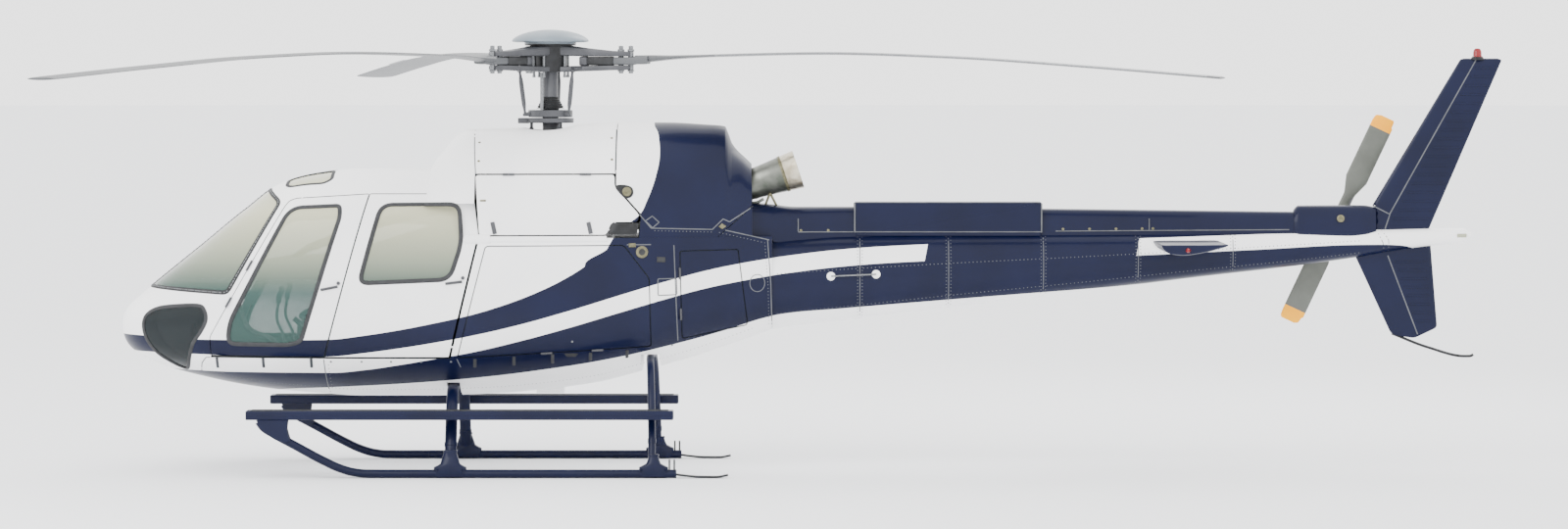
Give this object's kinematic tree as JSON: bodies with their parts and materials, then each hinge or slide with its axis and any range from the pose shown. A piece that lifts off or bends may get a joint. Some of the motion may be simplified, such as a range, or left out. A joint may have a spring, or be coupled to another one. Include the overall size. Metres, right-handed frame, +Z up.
{
  "type": "light single-engine helicopter",
  "caption": "Light helicopter on high skids: hollow glazed cabin with hinged and sliding doors, baggage lockers, turning main rotor and tail rotor, finned tail boom.",
  "frame": {"origin": "middle of the lower face of the hook plate under the belly, 600 mm above the ground and on the main rotor's axis", "axes": "+X runs aft along the fuselage, +Y is starboard, +Z is up along the main rotor mast"},
  "size_m": [11.1471, 9.2423, 3.4815],
  "materials": {
    "white_paint": "gloss",
    "navy_paint": "gloss",
    "rotor_grey": "satin",
    "dark_plastic": "matte",
    "bare_steel": "heat-stained",
    "window_glass": "clear acrylic",
    "seat_cloth": "woven",
    "red_lens": "gloss"
  },
  "bodies": {
    "airframe": {"nose_shell": "white_paint", "roof_shell": "white_paint", "belly": "white_paint", "centre_fuselage": "white_paint", "windscreen_left": "window_glass", "windscreen_right": "window_glass", "chin_window_left": "window_glass", "chin_window_right": "window_glass", "roof_window_left": "window_glass", "roof_window_right": "window_glass", "sliding_door_left": "white_paint", "sliding_door_right": "white_paint", "sliding_glass_left": "window_glass", "sliding_glass_right": "window_glass", "door_rail_left": "white_paint", "door_rail_right": "white_paint", "gearbox_cowling": "white_paint", "engine_cowling": "white_paint", "main_gearbox": "bare_steel", "engine": "bare_steel", "exhaust_pipe": "bare_steel", "tail_boom": "white_paint", "shaft_cover": "white_paint", "tail_gearbox_fairing": "white_paint", "upper_fin": "white_paint", "lower_fin": "white_paint", "stabiliser": "navy_paint", "tail_bumper": "rotor_grey", "beacon": "red_lens", "swashplate_fixed": "rotor_grey", "front_cross_tube": "navy_paint", "rear_cross_tube": "navy_paint", "skid_left": "navy_paint", "skid_right": "navy_paint", "step_left": "navy_paint", "step_right": "navy_paint", "front_seat_left": "seat_cloth", "front_seat_right": "seat_cloth", "rear_bench": "seat_cloth", "instrument_console": "dark_plastic"},
    "port_front_door": {"front_door_left": "white_paint", "front_glass_left": "window_glass"},
    "starboard_front_door": {"front_door_right": "white_paint", "front_glass_right": "window_glass"},
    "port_baggage_door": {"baggage_door_left": "white_paint"},
    "starboard_baggage_door": {"baggage_door_right": "white_paint"},
    "hold_door": {"rear_hold_door": "white_paint"},
    "port_cowl_door": {"cowl_door_left": "white_paint"},
    "starboard_cowl_door": {"cowl_door_right": "white_paint"},
    "main_rotor": {"rotor_star": "rotor_grey", "main_blade_1": "rotor_grey", "main_blade_2": "rotor_grey", "main_blade_3": "rotor_grey", "rotor_dome": "rotor_grey", "mast": "rotor_grey", "swashplate_turning": "rotor_grey"},
    "tail_rotor": {"tail_rotor_hub": "rotor_grey", "tail_rotor_blades": "rotor_grey"}
  },
  "joints": [
    {"name": "main_rotor_spin", "type": "hinge", "parent": "airframe", "child": "main_rotor", "pos_m": [0, 0, 2.64], "axis": [0, 0, 1], "continuous": true},
    {"name": "tail_rotor_spin", "type": "hinge", "parent": "airframe", "child": "tail_rotor", "pos_m": [6.28, 0.3, 1.367], "axis": [0, 1, 0], "continuous": true},
    {"name": "port_front_door_hinge", "type": "hinge", "parent": "airframe", "child": "port_front_door", "pos_m": [-2.3625, -0.7663, 0.9573], "axis": [-0.4961, 0, -0.8682], "range_deg": [0, 70]},
    {"name": "starboard_front_door_hinge", "type": "hinge", "parent": "airframe", "child": "starboard_front_door", "pos_m": [-2.3625, 0.7663, 0.9573], "axis": [0.4961, 0, 0.8682], "range_deg": [0, 70]},
    {"name": "port_baggage_door_hinge", "type": "hinge", "parent": "airframe", "child": "port_baggage_door", "pos_m": [0.0595, -0.8072, 0.356], "axis": [0.9876, 0.1478, 0.0522], "range_deg": [0, 90]},
    {"name": "starboard_baggage_door_hinge", "type": "hinge", "parent": "airframe", "child": "starboard_baggage_door", "pos_m": [0.0595, 0.8072, 0.356], "axis": [-0.9876, 0.1478, -0.0522], "range_deg": [0, 90]},
    {"name": "hold_door_hinge", "type": "hinge", "parent": "airframe", "child": "hold_door", "pos_m": [1.041, -0.6454, 0.8095], "axis": [0.0236, 0, -0.9997], "range_deg": [0, 100]},
    {"name": "port_cowl_door_hinge", "type": "hinge", "parent": "airframe", "child": "port_cowl_door", "pos_m": [0, -0.6753, 1.746], "axis": [-0.9974, -0.0725, 0], "range_deg": [0, 85]},
    {"name": "starboard_cowl_door_hinge", "type": "hinge", "parent": "airframe", "child": "starboard_cowl_door", "pos_m": [0, 0.6753, 1.746], "axis": [0.9974, -0.0725, 0], "range_deg": [0, 85]}
  ]
}
